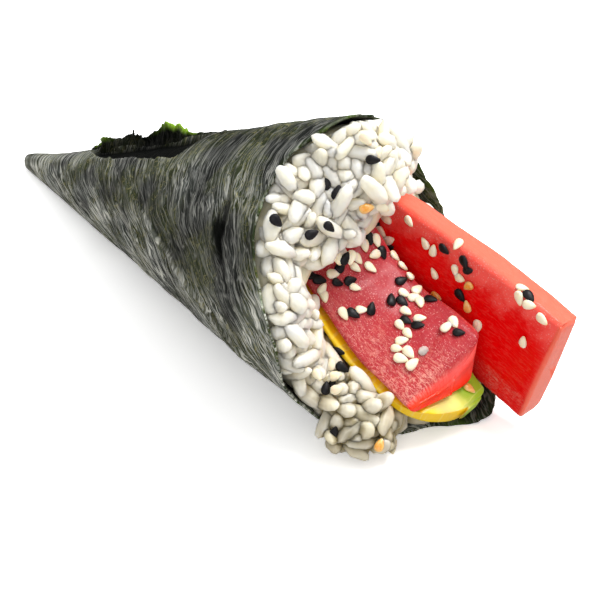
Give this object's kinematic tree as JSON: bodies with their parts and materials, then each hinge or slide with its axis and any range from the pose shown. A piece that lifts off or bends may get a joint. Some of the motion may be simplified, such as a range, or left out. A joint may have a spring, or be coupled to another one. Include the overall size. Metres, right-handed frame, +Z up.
{
  "type": "temaki hand roll",
  "caption": "Cone of toasted seaweed filled with sushi rice, with slabs of raw tuna and a slice of avocado sticking out of its mouth, sprinkled with sesame seeds.",
  "frame": {"origin": "middle of the roll's box, on the surface that it lies on", "axes": "+X from the closed tip to the mouth, +Z up, +Y to the side where the thicker slab of tuna stands"},
  "size_m": [0.165, 0.0582, 0.0612],
  "materials": {
    "nori": "toasted seaweed sheet, dark grey-green, fibrous and slightly glossy",
    "rice": "cooked short-grain rice, white and slightly translucent",
    "tuna": "raw tuna, deep red and moist",
    "avocado": "ripe avocado, yellow turning green towards the skin"
  },
  "bodies": {
    "root": {"nori_wrap": "nori", "rice": "rice", "tuna_front": "tuna", "tuna_back": "tuna", "avocado_slice": "avocado"}
  },
  "joints": []
}
